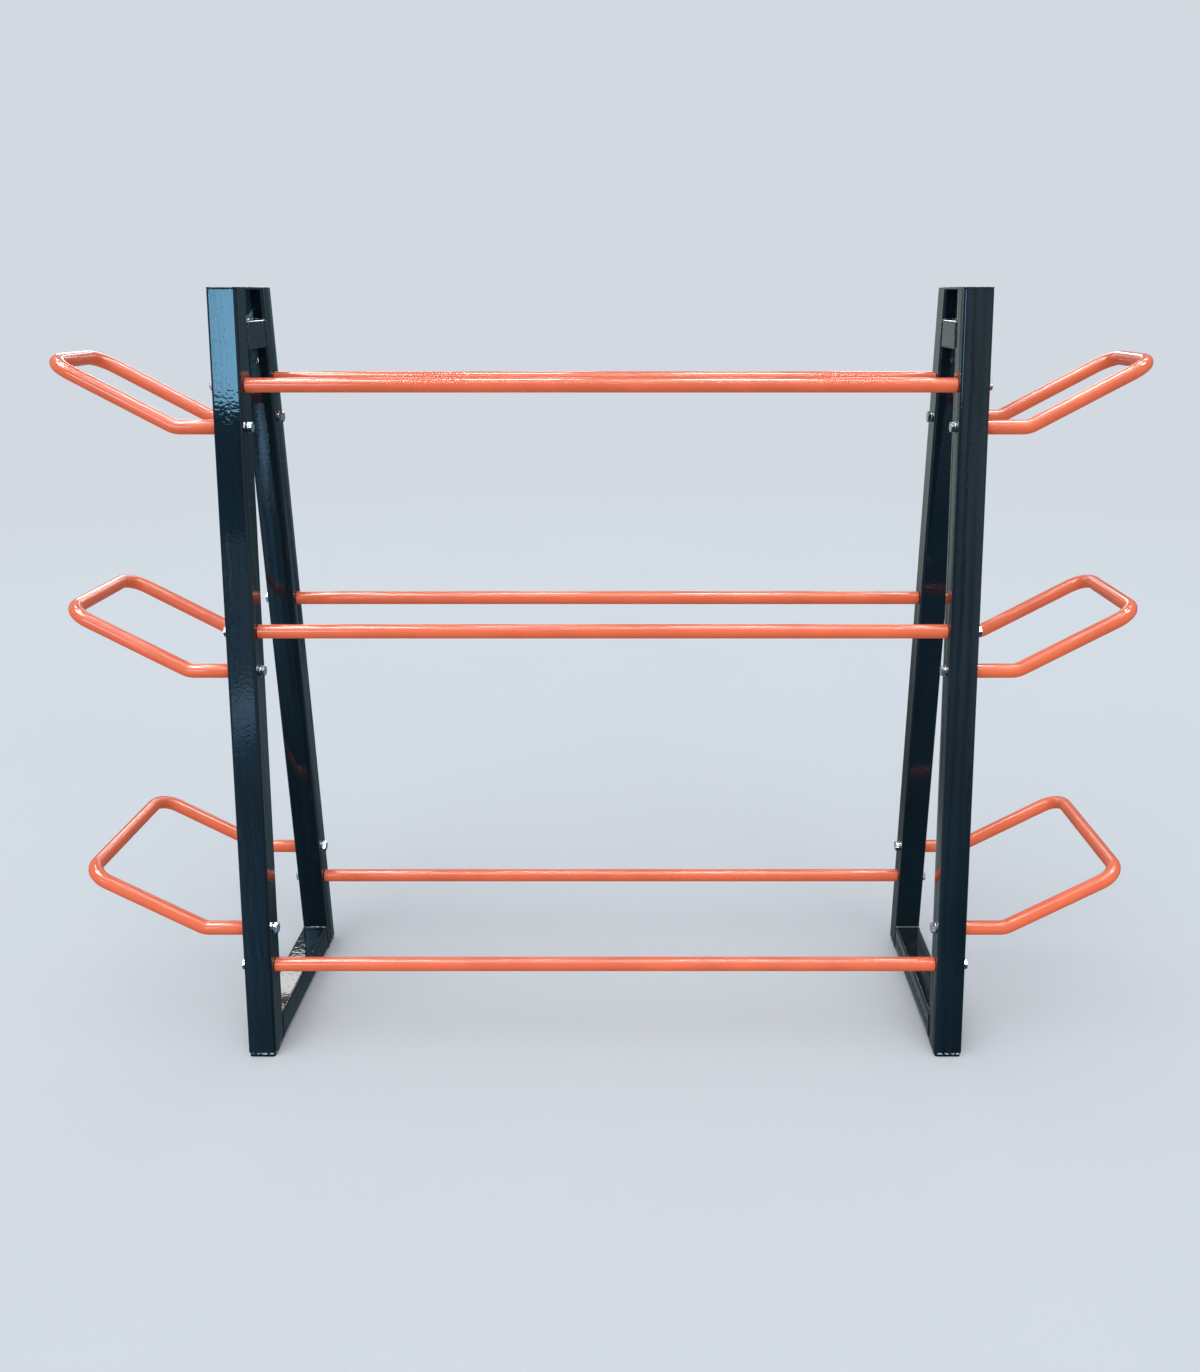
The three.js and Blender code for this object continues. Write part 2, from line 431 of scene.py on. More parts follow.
def remap(tree, value, low, high, to_low=0.0, to_high=1.0):
    made = node(tree, "ShaderNodeMapRange", interpolation_type="SMOOTHSTEP")
    for key, number in (
            ("From Min", low), ("From Max", high), ("To Min", to_low), ("To Max", to_high)):
        made.inputs[key].default_value = number
    tree.links.new(value, made.inputs["Value"])
    return made.outputs["Result"]


def maths(tree, operation, first, second):
    made = node(tree, "ShaderNodeMath", operation=operation)
    for i, value in enumerate((first, second)):
        feed(tree, made.inputs[i], value)
    return made.outputs["Value"]


def blend_colour(tree, amount, first, second):
    made = node(tree, "ShaderNodeMix", data_type="RGBA")
    for name, value in (("Factor", amount), ("A", first), ("B", second)):
        found = [s for s in made.inputs if s.name == name and s.enabled][0]
        feed(tree, found, value)
    return [s for s in made.outputs if s.enabled][0]


def shaded(colour, share):
    return tuple(c * share for c in colour[:3]) + (1,)


def once(kind, name):
    """Lets a function make its material or group once and find it by name after that."""
    def wrap(make):
        def found_or_made():
            found = getattr(bpy.data, kind).get(name)
            return make(name) if found is None else found
        return found_or_made
    return wrap


def label(key):
    return key.replace("_", " ").title()


def new_group(name, outputs, **inputs):
    """A group fed by coordinates and these numbers, with its coordinates and its two end nodes."""
    group = bpy.data.node_groups.new(name, "ShaderNodeTree")
    add = group.interface.new_socket
    add(name="Vector", in_out="INPUT", socket_type="NodeSocketVector")
    for key, default in inputs.items():
        made = add(name=label(key), in_out="INPUT", socket_type="NodeSocketFloat")
        made.default_value = default
    for output in outputs:
        add(name=output, in_out="OUTPUT", socket_type="NodeSocketFloat")
    start = node(group, "NodeGroupInput")
    return group, start.outputs["Vector"], start, node(group, "NodeGroupOutput")


@once("node_groups", "sprayed_skin")
def sprayed_skin(name):
    """The long and short waves of sprayed gloss paint."""
    group, vector, start, end = new_group(name, ["Height"], wave=110.0, peel=420.0, peel_share=0.3)
    waves = noise(group, vector, start.outputs["Wave"], 1.0)
    peel = noise(group, vector, start.outputs["Peel"], 2.0)
    peel = maths(group, "MULTIPLY", peel, start.outputs["Peel Share"])
    group.links.new(maths(group, "ADD", waves, peel), end.inputs["Height"])
    return group


@once("node_groups", "settled_dust")
def settled_dust(name):
    """A patchy mask of dust on what looks up."""
    group, vector, start, end = new_group(name, ["Mask"], amount=0.3)
    geometry = node(group, "ShaderNodeNewGeometry")
    split = node(group, "ShaderNodeSeparateXYZ")
    group.links.new(geometry.outputs["Normal"], split.inputs["Vector"])
    up = remap(group, split.outputs["Z"], 0.35, 1.0)
    patches = remap(group, noise(group, vector, 38.0, 6.0, 0.65), 0.35, 0.75)
    specks = remap(group, noise(group, vector, 900.0, 2.0), 0.5, 0.75)
    both = maths(
        group, "ADD", maths(group, "MULTIPLY", patches, 0.6), maths(group, "MULTIPLY", specks, 0.4))
    mask = maths(group, "MULTIPLY", maths(group, "MULTIPLY", up, both), start.outputs["Amount"])
    group.links.new(mask, end.inputs["Mask"])
    return group


@once("node_groups", "rubbed_edges")
def rubbed_edges(name):
    """A broken mask along sharp edges, where paint or plating rubs thin; on the frames it also lays
    a slight painted edge highlight.
    """
    group, vector, start, end = new_group(name, ["Mask"], amount=0.5, breakup=160.0)
    rounded = node(group, "ShaderNodeBevel", samples=4)
    rounded.inputs["Radius"].default_value = 0.0012
    geometry = node(group, "ShaderNodeNewGeometry")
    dot = node(group, "ShaderNodeVectorMath", operation="DOT_PRODUCT")
    group.links.new(rounded.outputs["Normal"], dot.inputs[0])
    group.links.new(geometry.outputs["Normal"], dot.inputs[1])
    edge = remap(group, maths(group, "SUBTRACT", 1.0, dot.outputs["Value"]), 0.02, 0.16)
    broken = remap(group, noise(group, vector, start.outputs["Breakup"], 5.0), 0.5, 0.62)
    mask = maths(group, "MULTIPLY", maths(group, "MULTIPLY", edge, broken), start.outputs["Amount"])
    group.links.new(mask, end.inputs["Mask"])
    return group


@once("node_groups", "handled_marks")
def handled_marks(name):
    """Fine scuffs and smears that dull a glossy face."""
    group, vector, start, end = new_group(name, ["Smear", "Scratch"], size=14.0)
    smears = noise(group, vector, start.outputs["Size"], 7.0, 0.6, 0.6)
    group.links.new(remap(group, smears, 0.42, 0.72), end.inputs["Smear"])
    along_marks = stretched(group, vector, (9.0, 26.0, 260.0), (0.5, 0.3, 0.2))
    lines = noise(group, along_marks, 3.0, 2.0)
    where = remap(group, noise(group, vector, 23.0, 3.0), 0.56, 0.68)
    thin = remap(group, lines, 0.66, 0.71)
    group.links.new(maths(group, "MULTIPLY", thin, where), end.inputs["Scratch"])
    return group


def use(tree, group, coordinates, **values):
    made = node(tree, "ShaderNodeGroup", node_tree=group)
    tree.links.new(coordinates, made.inputs["Vector"])
    for key, value in values.items():
        made.inputs[label(key)].default_value = value
    return made


def new_material(name):
    material = bpy.data.materials.new(name)
    material.use_nodes = True
    tree = material.node_tree
    shader = tree.nodes["Principled BSDF"]
    coordinates = node(tree, "ShaderNodeTexCoord").outputs["Object"]
    return material, tree, shader, coordinates


def bump(tree, shader, height, distance, after=None):
    """Raises the surface by a height map, this far in metres, on top of an earlier bump."""
    made = node(tree, "ShaderNodeBump")
    made.inputs["Distance"].default_value = distance
    tree.links.new(height, made.inputs["Height"])
    if after is not None:
        tree.links.new(after, made.inputs["Normal"])
    tree.links.new(made.outputs["Normal"], shader.inputs["Normal"])
    return made.outputs["Normal"]


@once("materials", "gloss_frame_paint")
def frame_paint(name):
    """Blue-black gloss paint with a sprayed skin."""
    finishes = bpy.context.scene.rack_finishes
    material, tree, shader, coordinates = new_material(name)
    colour = tuple(finishes.frame_colour)
    paler = tuple(min(1.0, c * 1.35 + 0.0008) for c in colour[:3]) + (1,)
    drift = remap(tree, noise(tree, coordinates, 5.0, 4.0), 0.3, 0.7)
    base = blend_colour(tree, drift, colour, paler)
    dust = use(tree, settled_dust(), coordinates, amount=0.05).outputs["Mask"]
    base = blend_colour(tree, dust, base, FRAME_DUST)
    # Paler along the edges: rubbed wear and a slight painted edge highlight.
    wear = use(tree, rubbed_edges(), coordinates, amount=0.3).outputs["Mask"]
    base = blend_colour(tree, wear, base, FRAME_EDGE_WEAR_AND_HIGHLIGHT)
    tree.links.new(base, shader.inputs["Base Color"])
    marks = use(tree, handled_marks(), coordinates)
    gloss = finishes.frame_gloss
    rough = remap(tree, marks.outputs["Smear"], 0.0, 1.0, gloss, gloss + 0.05)
    rough = maths(tree, "ADD", rough, maths(tree, "MULTIPLY", marks.outputs["Scratch"], 0.2))
    rough = maths(tree, "ADD", rough, maths(tree, "MULTIPLY", dust, 0.5))
    tree.links.new(rough, shader.inputs["Roughness"])
    shader.inputs["IOR"].default_value = PAINT_IOR
    shader.inputs["Specular IOR Level"].default_value = 0.4
    skin = use(tree, sprayed_skin(), coordinates, wave=165.0, peel=420.0, peel_share=0.12)
    short_waves = bump(tree, shader, skin.outputs["Height"], FRAME_SKIN)
    runs = noise(tree, stretched(tree, coordinates, (1.0, 1.0, 0.07)), 70.0, 2.0)
    long_waves = bump(tree, shader, runs, FRAME_RUNS, after=short_waves)
    bump(tree, shader, marks.outputs["Scratch"], FRAME_SCRATCH, after=long_waves)
    return material


def weld_paint(painted_glints=False):
    """The frames' paint over the spatter and ripples of a weld bead, with pale flecks painted on as
    highlights, faint at the joints and strong at the feet.
    """
    name = "chipped_weld" if painted_glints else "painted_weld"
    if name in bpy.data.materials:
        return bpy.data.materials[name]
    finishes = bpy.context.scene.rack_finishes
    material, tree, shader, coordinates = new_material(name)
    colour = tuple(finishes.frame_colour)
    if painted_glints:
        # Strong pale flecks painted on as highlights of the bead.
        wear = remap(tree, noise(tree, coordinates, 190.0, 3.0), 0.47, 0.56)
        base = blend_colour(tree, wear, colour, WELD_PAINTED_GLINT)
    else:
        # Faint pale flecks painted on as highlights of the bead.
        wear = remap(tree, noise(tree, coordinates, 420.0, 4.0), 0.56, 0.7)
        base = blend_colour(tree, wear, colour, WELD_FAINT_PAINTED_GLINT)
    tree.links.new(base, shader.inputs["Base Color"])
    tree.links.new(remap(tree, wear, 0.0, 1.0, 0.08, 0.2), shader.inputs["Roughness"])
    skin = use(tree, sprayed_skin(), coordinates, wave=330.0, peel=900.0, peel_share=0.4)
    bump(tree, shader, skin.outputs["Height"], WELD_SKIN)
    return material


@once("materials", "smooth_orange_paint")
def orange_paint(name):
    """Smooth orange powder coat under a clear glossy layer."""
    finishes = bpy.context.scene.rack_finishes
    material, tree, shader, coordinates = new_material(name)
    colour = tuple(finishes.orange_colour)
    drift = remap(tree, noise(tree, coordinates, 9.0, 5.0), 0.3, 0.72)
    base = blend_colour(tree, drift, colour, shaded(colour, 0.86))
    dust = use(tree, settled_dust(), coordinates, amount=0.08).outputs["Mask"]
    base = blend_colour(tree, dust, base, ORANGE_DUST)
    marks = use(tree, handled_marks(), coordinates, size=21.0)
    scratches = maths(tree, "MULTIPLY", marks.outputs["Scratch"], 0.45)
    base = blend_colour(tree, scratches, base, ORANGE_SCRATCHED)
    wear = use(tree, rubbed_edges(), coordinates, amount=0.55).outputs["Mask"]
    base = blend_colour(tree, wear, base, ORANGE_WORN)
    tree.links.new(base, shader.inputs["Base Color"])
    gloss = finishes.orange_gloss
    rough = remap(tree, marks.outputs["Smear"], 0.0, 1.0, gloss, gloss + 0.07)
    rough = maths(tree, "ADD", rough, maths(tree, "MULTIPLY", dust, 0.5))
    tree.links.new(rough, shader.inputs["Roughness"])
    shader.inputs["IOR"].default_value = PAINT_IOR
    shader.inputs["Specular IOR Level"].default_value = 0.0
    shader.inputs["Coat Weight"].default_value = 1.0
    shader.inputs["Coat Roughness"].default_value = finishes.orange_coat
    skin = use(tree, sprayed_skin(), coordinates, wave=120.0, peel=520.0, peel_share=0.2)
    waves = bump(tree, shader, skin.outputs["Height"], ORANGE_SKIN)
    bump(tree, shader, marks.outputs["Scratch"], ORANGE_SCRATCH, after=waves)
    return material


@once("materials", "bright_zinc_plate")
def zinc(name):
    """Bright zinc plating with fine turned marks and dull patches."""
    finishes = bpy.context.scene.rack_finishes
    material, tree, shader, coordinates = new_material(name)
    colour = tuple(finishes.zinc_colour)
    clouds = remap(tree, noise(tree, coordinates, 260.0, 4.0), 0.35, 0.7)
    base = blend_colour(tree, clouds, colour, shaded(colour, 0.8))
    wear = use(tree, rubbed_edges(), coordinates, amount=0.5, breakup=600.0).outputs["Mask"]
    base = blend_colour(tree, wear, base, ZINC_WORN)
    tree.links.new(base, shader.inputs["Base Color"])
    shader.inputs["Metallic"].default_value = 1.0
    rough = remap(tree, clouds, 0.0, 1.0, 0.13, 0.3)
    tree.links.new(rough, shader.inputs["Roughness"])
    grain = noise(tree, coordinates, 2600.0, 2.0)
    bump(tree, shader, grain, ZINC_GRAIN)
    return material


# ---------------------------------------------------------------- pieces

HOLE_FACETS = 32
WASHER_FACETS = 48
HEAD_CHAMFER_FACETS = 72
HEAD_CHAMFER = 0.0003  # how far inside the flats the chamfer of a bolt head starts
SHANK_OVERLAP = 0.001  # how far a shank is sunk into its head before they are joined
WASHER_EDGE = 0.00025
BOLT_TURN = 0.37  # each bolt head is turned this much further than the last
ROUND_EDGE_STEPS = 3
LOOP_BEND_STEPS = 14
BEAD_BEND_STEPS = 5
BEAD_FACETS = 10
BEAD_RIPPLE = 0.2
BEAD_SUNK = 0.0008  # how deep the beads round the rails sit in the tube's corners
BEAD_BACK = 0.0002  # keeps the beads behind the faces of the legs
BEAD_MARGIN = 0.0001
FOOT_BEAD_DROP = 0.0025  # centre of a foot bead below the end of its tube
TOP_BEAD_RISE = 0.0008  # centre of a top bead above the end of its tube


def is_end_cap(x):
    """A test for the many-sided face that closes a rod at this x."""
    return lambda face: len(face.verts) > 4 and abs(face.calc_center_median().x - x) < 1e-5


def leg_slope(low, high, side):
    """Sideways shift of a leg for each metre up, from its box and its tube's side."""
    slope = 0.0
    for _ in range(6):
        slope = ((high.y - low.y) - side * math.hypot(1, slope)) / (high.z - low.z)
    return slope


def drill(piece, spots, radius, length):
    """Through holes along X."""
    cutters = [new_rod("drill", spot, radius, length, HOLE_FACETS) for spot in spots]
    activate(cutters[0])
    for other in cutters[1:]:
        other.select_set(True)
    bpy.ops.object.join()
    combine(piece, cutters[0], "DIFFERENCE")


class RACK_OT_legs(bpy.types.Operator):
    """Build the four leaning legs of square tube, drilled for the bolts"""

    bl_idname = "rack.legs"
    bl_label = "Legs"

    def execute(self, context):
        sizes = context.scene.rack_sizes
        low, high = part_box("left_front_leg")
        slope = leg_slope(low, high, sizes.tube_side)
        depth = sizes.tube_side * math.hypot(1, slope)
        foot_z = low.z + sizes.foot_gap
        height = high.z - foot_z
        foot_y = low.y + slope * sizes.foot_gap
        centre = Vector(((low.x + high.x) / 2, foot_y + depth / 2, (foot_z + high.z) / 2))
        leg = new_box("leg_left_front", centre, (sizes.tube_side, depth, height))
        edit(leg)
        pick(leg, "edges", along(2))
        bevel(sizes.tube_corner, sizes.corner_steps)
        pick(leg, "verts", lambda v: v.co.z > centre.z)
        bpy.ops.transform.translate(value=(0, slope * height, 0))
        pick(leg, "faces", facing(2))
        bpy.ops.mesh.delete(type="FACE")
        leave_edit()
        modify(leg, "SOLIDIFY", thickness=sizes.tube_wall, offset=-1, use_even_offset=True)
        spots = [
            middle(f"left_{tier}_front_{kind}_bolt") for tier in TIERS for kind in ("bar", "loop")]
        spots = [Vector((centre.x, s.y, s.z)) for s in spots]
        drill(leg, spots, sizes.hole_radius, 2 * sizes.tube_side)
        smooth(leg)
        legs = {("left", "front"): leg}
        legs["right", "front"] = mirrored(leg, "leg_right_front", 0)
        for side in SIDES:
            legs[side, "rear"] = mirrored(legs[side, "front"], f"leg_{side}_rear", 1)
        for (side, end), piece in legs.items():
            finish(piece, frame_paint(), "frame_paint", f"{side}_{end}_leg")
        return {"FINISHED"}


def rail(name, node_name, sizes, slope):
    """A length of square tube along Y, its ends cut to the legs' lean."""
    low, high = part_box(node_name)
    centre = (low + high) / 2
    piece = new_box(name, centre, (sizes.tube_side, high.y - low.y, sizes.tube_side))
    edit(piece)
    pick(piece, "edges", along(1))
    bevel(sizes.tube_corner, sizes.corner_steps)
    pick(piece, "faces", facing(1))
    bpy.ops.mesh.delete(type="FACE")
    for way in (-1, 1):
        bpy.ops.mesh.select_all(action="SELECT")
        at = (centre.x, way * high.y, low.z)
        bpy.ops.mesh.bisect(
            plane_co=at, plane_no=Vector((0, way, slope)).normalized(), clear_outer=True)
    leave_edit()
    modify(piece, "SOLIDIFY", thickness=sizes.tube_wall, offset=-1, use_even_offset=True)
    smooth(piece)
    return piece


class RACK_OT_rails(bpy.types.Operator):
    """Build the base rails and upper crossbars between the legs"""

    bl_idname = "rack.rails"
    bl_label = "Rails and crossbars"

    def execute(self, context):
        sizes = context.scene.rack_sizes
        slope = leg_slope(*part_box("left_front_leg"), sizes.tube_side)
        for kind in ("base_rail", "upper_crossbar"):
            left = rail(f"{kind}_left", f"left_{kind}", sizes, slope)
            right = mirrored(left, f"{kind}_right", 0)
            for side, piece in (("left", left), ("right", right)):
                finish(piece, frame_paint(), "frame_paint", f"{side}_{kind}")
        return {"FINISHED"}


def plate(name, node_name, sizes):
    low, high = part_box(node_name)
    piece = new_box(name, (low + high) / 2, high - low)
    edit(piece)
    pick(piece, "edges", along(2))
    bevel(sizes.tube_corner, sizes.corner_steps)
    pick(piece, "edges", lambda e: abs(edge_run(e).z) < 0.01)
    bevel(sizes.plate_edge, ROUND_EDGE_STEPS)
    leave_edit()
    smooth(piece)
    return piece


class RACK_OT_plates(bpy.types.Operator):
    """Build the top plates and the foot plates"""

    bl_idname = "rack.plates"
    bl_label = "Plates"

    def execute(self, context):
        sizes = context.scene.rack_sizes
        for side in SIDES:
            top = plate(f"top_plate_{side}", f"{side}_top_plate", sizes)
            finish(top, frame_paint(), "frame_paint", f"{side}_top_plate")
            for end in ENDS:
                node_name = f"{side}_{end}_foot_plate"
                foot = plate(f"foot_plate_{side}_{end}", node_name, sizes)
                finish(foot, frame_paint(), "frame_paint", node_name)
        return {"FINISHED"}


def bore_ends(piece, sizes, ends):
    """Rounds the rod's flat ends and bores a bolt hole into each; ends are (x, outward way)."""
    edit(piece)
    for x, way in ends:
        pick(piece, "faces", is_end_cap(x))
        bevel(sizes.rod_edge, ROUND_EDGE_STEPS)
        pick(piece, "faces", is_end_cap(x))
        bpy.ops.mesh.inset(thickness=sizes.rod_radius - sizes.rod_edge - sizes.bore_radius)
        bpy.ops.mesh.extrude_region_move(
            TRANSFORM_OT_translate={"value": (-way * sizes.bore_depth, 0, 0)})
    leave_edit()


class RACK_OT_bars(bpy.types.Operator):
    """Build the six straight bars with bored ends"""

    bl_idname = "rack.bars"
    bl_label = "Bars"

    def execute(self, context):
        sizes = context.scene.rack_sizes
        low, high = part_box("top_front_bar")
        first_at = (low + high) / 2
        first = new_rod(
            "bar_top_front", first_at, sizes.rod_radius, high.x - low.x, sizes.rod_facets)
        bore_ends(first, sizes, ((low.x, -1), (high.x, 1)))
        smooth(first)
        for tier in TIERS:
            for end in ENDS:
                node_name = f"{tier}_{end}_bar"
                piece = first
                if (tier, end) != ("top", "front"):
                    piece = copy_of(first, f"bar_{tier}_{end}", middle(node_name) - first_at)
                finish(piece, orange_paint(), "orange_paint", node_name)
        return {"FINISHED"}


class RACK_OT_loops(bpy.types.Operator):
    """Build the six bent side loops with bored ends"""

    bl_idname = "rack.loops"
    bl_label = "Side loops"

    def execute(self, context):
        sizes = context.scene.rack_sizes
        for tier in TIERS:
            low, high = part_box(f"right_{tier}_loop")
            bolt = middle(f"right_{tier}_rear_loop_bolt")
            y, z = bolt.y, bolt.z
            far_x = high.x - sizes.rod_radius
            far_z = high.z - sizes.rod_radius
            bend_x = far_x - (far_z - z) / math.tan(sizes.loop_tilt)
            corners = [
                (low.x, -y, z), (bend_x, -y, z), (far_x, -y, far_z),
                (far_x, y, far_z), (bend_x, y, z), (low.x, y, z)]
            right = sweep_corners(
                f"loop_right_{tier}", corners, sizes.bend_radius, LOOP_BEND_STEPS,
                sizes.rod_radius, sizes.rod_facets)
            bore_ends(right, sizes, ((low.x, -1),))
            smooth(right)
            left = mirrored(right, f"loop_left_{tier}", 0)
            for side, piece in (("left", left), ("right", right)):
                finish(piece, orange_paint(), "orange_paint", f"{side}_{tier}_loop")
        return {"FINISHED"}


def hex_bolt(name, at, way, sizes, shank_length):
    """A bolt along X with a chamfered hex head; at is under the head, way is the shank's."""
    hex_radius = sizes.head_flats / math.sqrt(3)
    head_at = at - Vector((way * sizes.head_height / 2, 0, 0))
    head = new_rod(name, head_at, hex_radius, sizes.head_height, 6)
    deselect()
    face_radius = sizes.head_flats / 2 - HEAD_CHAMFER
    bpy.ops.mesh.primitive_cone_add(
        vertices=HEAD_CHAMFER_FACETS, radius1=face_radius, depth=sizes.head_height,
        radius2=face_radius + sizes.head_height * math.sqrt(3),
        location=head_at, rotation=(0, way * math.pi / 2, 0))
    cone = bpy.context.active_object
    settle(cone)
    combine(head, cone, "INTERSECT")
    shank_at = at + Vector((way * (shank_length - SHANK_OVERLAP) / 2, 0, 0))
    shank = new_rod(
        "shank", shank_at, sizes.shank_radius, shank_length + SHANK_OVERLAP, HOLE_FACETS)
    combine(head, shank, "UNION")
    outward(head)
    smooth(head, 25)
    return head


def washer(name, at, sizes):
    """A flat washer along X, centred."""
    piece = new_rod(name, at, sizes.washer_radius, sizes.washer_thickness, WASHER_FACETS)
    edit(piece)
    pick(piece, "faces", lambda f: len(f.verts) > 4)
    bpy.ops.mesh.inset(thickness=sizes.washer_radius - sizes.hole_radius)
    bpy.ops.mesh.bridge_edge_loops()
    pick(piece, "edges", lambda e: len(e.link_faces) == 2 and e.calc_face_angle() > 1.2)
    bevel(WASHER_EDGE, 2)
    leave_edit()
    outward(piece)
    smooth(piece)
    return piece


class RACK_OT_bolts(bpy.types.Operator):
    """Build the bolts and washers that hold the bars and loops"""

    bl_idname = "rack.bolts"
    bl_label = "Bolts and washers"

    def execute(self, context):
        sizes = context.scene.rack_sizes
        turn = 0.0
        for kind in ("bar", "loop"):
            for side, side_way in SIDES.items():
                way = -side_way if kind == "bar" else side_way
                first_node = f"{side}_top_front_{kind}_bolt"
                low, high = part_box(first_node)
                stack = sizes.head_height + sizes.washer_thickness
                face_x = (low.x if way > 0 else high.x) + way * stack
                first_at = Vector((face_x, middle(first_node).y, (low.z + high.z) / 2))
                under_head = first_at - Vector((way * sizes.washer_thickness, 0, 0))
                length = high.x - low.x - sizes.head_height
                first = hex_bolt(f"bolt_{kind}_{side}", under_head, way, sizes, length)
                ring = washer(
                    f"washer_{kind}_{side}",
                    first_at - Vector((way * sizes.washer_thickness / 2, 0, 0)), sizes)
                for tier in TIERS:
                    for end in ENDS:
                        node_name = f"{side}_{tier}_{end}_{kind}_bolt"
                        shift = middle(node_name) - middle(first_node)
                        turn += BOLT_TURN
                        place = f"{kind}_{side}_{tier}_{end}"
                        bolt = copy_of(first, f"bolt_{place}", shift, (turn, "X", first_at))
                        finish(bolt, zinc(), "zinc", node_name)
                        flat = copy_of(ring, f"washer_{place}", shift)
                        finish(flat, zinc(), "zinc")
                bpy.data.objects.remove(first)
                bpy.data.objects.remove(ring)
        return {"FINISHED"}


def bead(name, corners, radius, corner_radius):
    """A closed weld bead round a tube, started and ended half way along one side."""
    start = (Vector(corners[0]) + Vector(corners[-1])) / 2
    points = [start, *corners, start]
    return sweep_corners(
        name, points, corner_radius, BEAD_BEND_STEPS, radius, BEAD_FACETS, BEAD_RIPPLE, radius)


class RACK_OT_welds(bpy.types.Operator):
    """Build the weld beads at the rails, crossbars and plates"""

    bl_idname = "rack.welds"
    bl_label = "Weld beads"

    def execute(self, context):
        sizes = context.scene.rack_sizes
        leg_low, leg_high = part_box("left_front_leg")
        slope = leg_slope(leg_low, leg_high, sizes.tube_side)
        half = sizes.tube_side / 2
        for kind in ("base_rail", "upper_crossbar"):
            low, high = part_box(f"left_{kind}")
            x = (low.x + high.x) / 2
            around = half - BEAD_SUNK
            top, bottom = high.z - BEAD_SUNK, low.z + BEAD_SUNK
            corners = []
            for dx, z in ((-around, top), (around, top), (around, bottom), (-around, bottom)):
                corners.append((x + dx, low.y + slope * (z - low.z) - BEAD_BACK, z))
            first = bead(f"weld_{kind}_left_front", corners, sizes.joint_bead, sizes.tube_corner)
            self.spread(first, f"weld_{kind}")
        for kind, z, radius in (
                ("foot", leg_low.z + sizes.foot_gap - FOOT_BEAD_DROP, sizes.foot_bead),
                ("top", leg_high.z + TOP_BEAD_RISE, sizes.seam_bead)):
            depth = sizes.tube_side * math.hypot(1, slope)
            y = leg_low.y + slope * (z - leg_low.z) + depth / 2
            x = (leg_low.x + leg_high.x) / 2
            margin = radius + BEAD_MARGIN
            dx = half - margin
            dy = depth / 2 - margin
            if kind == "foot":
                dy -= BEAD_BACK
            corners = [
                (x - dx, y - dy, z), (x + dx, y - dy, z), (x + dx, y + dy, z), (x - dx, y + dy, z)]
            first = bead(f"weld_{kind}_left_front", corners, radius, sizes.tube_corner)
            # The foot beads get the strong painted highlight flecks.
            self.spread(first, f"weld_{kind}", kind == "foot")
        return {"FINISHED"}

    def spread(self, first, stem, painted_glints=False):
        """Mirrors a bead to the other three legs and paints all four, with strong painted highlight
        flecks where asked.
        """
        smooth(first, 60, weighted=False)
        pieces = [first, mirrored(first, f"{stem}_right_front", 0)]
        pieces += [mirrored(p, p.name.replace("front", "rear"), 1) for p in list(pieces)]
        for piece in pieces:
            finish(piece, weld_paint(painted_glints), "frame_paint")


# ---------------------------------------------------------------- stage

FLOOR_RADIUS = 9.0
FLOOR_FADE = (2.6, 7.5)  # from the rack's middle, where the floor starts and ends fading

WHITE = (1, 1, 1)
SKY = (0.28, 0.66, 1.0)
COLUMN_BLUE = (0.5, 0.74, 1.0)
GLEAM_BLUE = (0.38, 0.66, 1.0)

# Softboxes that only reflections see, in metres, in the planes named here.
BACK_WALL = 2.79
CEILING = 3.2
FRONT_WALL = -3.6
COLUMN_ROW = -1.5
# name, x, height, width, tall, brightness
BACK_PANELS = (
    ("back_rail", -1.6, 1.97, 0.6, 0.44, 8.0),
    ("back_far_left", -2.16, 2.02, 0.5, 0.55, 10.0),
    ("back_high_left", -0.95, 2.45, 0.4, 0.3, 10.0),
    ("back_middle", -0.33, 2.08, 0.36, 0.2, 14.0),
    ("back_inner_right", 0.45, 1.94, 0.3, 0.12, 14.0),
    ("back_right", 1.1, 2.4, 0.5, 0.5, 10.0))
# name, x, y, width, breadth, brightness
CEILING_PANELS = (
    ("ceiling_far_left", -1.95, -0.5, 1.0, 0.8, 55.0),
    ("ceiling_far_right", 2.15, -0.5, 0.9, 0.6, 45.0),
    ("ceiling_left", -1.17, -0.55, 0.8, 0.34, 36.0),
    ("ceiling_right", 0.95, -0.35, 2.1, 0.22, 22.0),
    ("ceiling_front_line", -0.2, -1.45, 4.2, 0.12, 36.0),
    ("ceiling_near_line", 0.2, -3.1, 4.2, 0.08, 24.0))
# name, x, width, height, tall, brightness
COLUMNS = (
    ("column_left", -1.32, 0.07, 0.62, 0.5, 0.4),
    ("column_middle", -1.20, 0.12, 0.70, 0.42, 0.8),
    ("column_right", -1.07, 0.08, 0.66, 0.5, 0.55))
# left edge, right edge
WINDOWS = ((-2.8, -2.03), (-2.015, -1.93), (-1.918, -1.4))
WINDOW_HEIGHT = 1.8
WINDOW_TALL = 0.7
WINDOW_BRIGHTNESS = 14.5
# x of the lamps to each side; each row of lamps runs slantwise to the back
LAMPS = (0.4, 1.2, 2.0)
LAMP_ROW = (0.02, 0.45)
LAMP_SIZE = (0.42, 0.3)
LAMP_BRIGHTNESS = 60.0
# length, brightness
GLEAMS = ((0.8, 1.9), (1.8, 0.8))
GLEAM_AT = (-1.85, -3.5, 0.03)
GLEAM_WIDTH = 0.6

CAMERA_AT = (0.0834, -2.0934, 1.3567)
CAMERA_DIP = 0.2388
CAMERA_SENSOR = 36.0
CAMERA_LENS = 30.97784
CAMERA_SHIFT = (-0.0370262, -0.0777697)
CAMERA_REACH = 200


